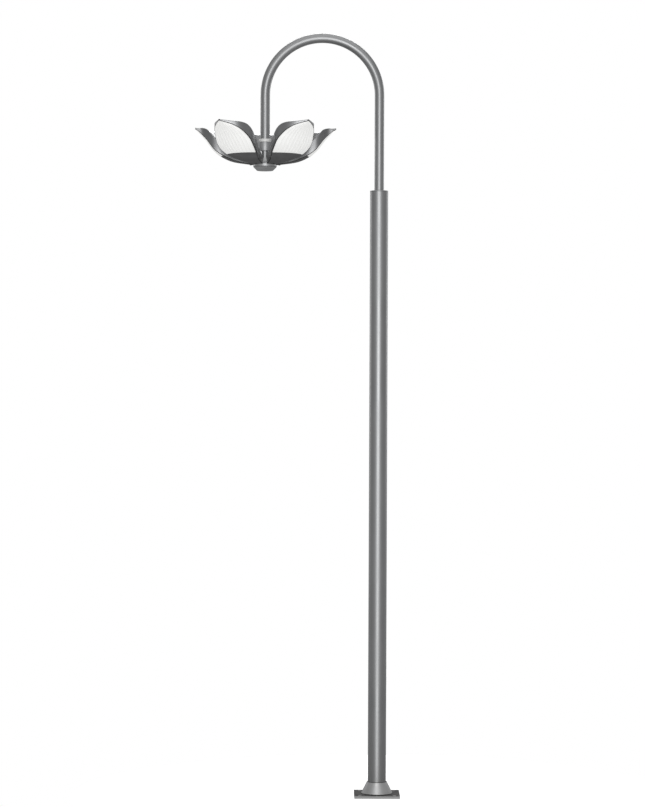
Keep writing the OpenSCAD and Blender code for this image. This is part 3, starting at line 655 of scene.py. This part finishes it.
def copy_petals(first, names, material, replaced=None):
    """Copies a petal piece to every place around the lantern's axis."""
    for i in range(petal_count):
        piece = first if i == petal_count - 1 else first.copy()
        if piece is not first:
            piece.data = first.data.copy()
            bpy.context.scene.collection.objects.link(piece)
        turn = Matrix.Rotation(radians(petal_turn + i * 360 / petal_count), 4, "Z")
        piece.data.transform(Matrix.Translation((head_x, 0, 0)) @ turn)
        piece.name = f"{names}_{i + 1}"
        piece.data.materials.clear()
        piece.data.materials.append(material)
        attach(piece, "lantern")
        if replaced:
            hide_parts(f"{replaced}_{i + 1}")


# The diffuser's outer face carries fine moulded ribs that fan out from the root.
rib_count, points_per_rib, rib_share, painted_glow = 11, 8, 0.09, 0.42
face_points = []
for k in range(rib_count * points_per_rib + 1):
    place = 2 * k / (rib_count * points_per_rib) - 1
    ridge = max(0.0, cos(2 * pi * k / points_per_rib)) ** 2
    face_points.append((place ** 2 - rib_share * ridge, place, 0))
diffuser = draw_sheet("diffuser", face_points, root_end, last_row, cover_station)
thicken(diffuser, diffuser_thick, 1)
opal_acrylic = moulded("opal_acrylic", (0.72, 0.72, 0.715), (0.78, 0.78, 0.775), 0.3, 500.0,
                       12.0, 0.03)
# The diffuser's emission is painted light that brightens its white face.
glow = opal_acrylic.node_tree.nodes["Principled BSDF"]
glow.inputs["Emission Color"].default_value = (1, 1, 0.98, 1)
glow.inputs["Emission Strength"].default_value = painted_glow
copy_petals(diffuser, "petal_face", opal_acrylic, "petal_diffuser")

# The root cover is a plain matte plate.
across_steps = 24
root_points = []
for k in range(across_steps + 1):
    place = 2 * k / across_steps - 1
    root_points.append((place ** 2, place, 0))
root_cover = draw_sheet("root_cover", root_points, 0, root_end, cover_station)
thicken(root_cover, root_thick, 1)
root_matte = moulded("root_matte", (0.12, 0.12, 0.123), (0.16, 0.16, 0.163), 0.75, 700.0)
copy_petals(root_cover, "petal_root_cover", root_matte, "petal_root")

# The pan: up one flange, round a small fold, across the back and down the other flange.
pan_points = [(1, -1, lift / 8) for lift in range(8)]
pan_points += [(0.995, -0.9975, 0.95), (0.98, -0.99, 0.985)]
for k in range(1, across_steps):
    place = 2 * k / across_steps - 1
    pan_points.append((place ** 2, place, 1))
pan_points += [(bow, -across, lift) for bow, across, lift in reversed(pan_points[:10])]
pan = draw_sheet("pan", pan_points, 0, last_row, station)
pan_sheet = pan.copy()
pan_sheet.data = pan.data.copy()
bpy.context.scene.collection.objects.link(pan_sheet)
thicken(pan, sheet, -1)
petal_coat = coated("petal_coat", (0.26, 0.263, 0.268), (0.33, 0.333, 0.338), 0.8, 0.36,
                    grain=600.0, bump=0.06)


def rolled_edge(source, name, radius):
    """A thin bead along the free edges of a drawn sheet."""
    bpy.ops.object.select_all(action="DESELECT")
    bead = source.copy()
    bead.data = source.data.copy()
    bead.name = name
    bpy.context.scene.collection.objects.link(bead)
    bead.select_set(True)
    bpy.context.view_layer.objects.active = bead
    bpy.ops.object.mode_set(mode="EDIT")
    bpy.ops.mesh.select_mode(type="EDGE")
    bpy.ops.mesh.select_all(action="DESELECT")
    for edge in bmesh.from_edit_mesh(bead.data).edges:
        edge.select_set(not edge.is_boundary)
    bpy.ops.mesh.delete(type="EDGE")
    bpy.ops.object.mode_set(mode="OBJECT")
    bpy.ops.object.convert(target="CURVE")
    bead.data.bevel_depth = radius
    bead.data.bevel_resolution = 3
    bead.data.use_fill_caps = True
    bpy.ops.object.convert(target="MESH")
    bpy.ops.object.shade_smooth()
    return bead


hem_radius = 0.0026
pan_hem = rolled_edge(pan_sheet, "pan_hem", hem_radius)
bpy.data.objects.remove(pan_sheet)
copy_petals(pan, "petal_shell", petal_coat, "petal_pan")
# The hem bead is near black: painted shade that draws the dark line along each pan's rim.
hem_painted_shade = moulded("hem_painted_shade", (0.03, 0.03, 0.03), (0.055, 0.055, 0.055), 0.5)
copy_petals(pan_hem, "petal_hem", hem_painted_shade)
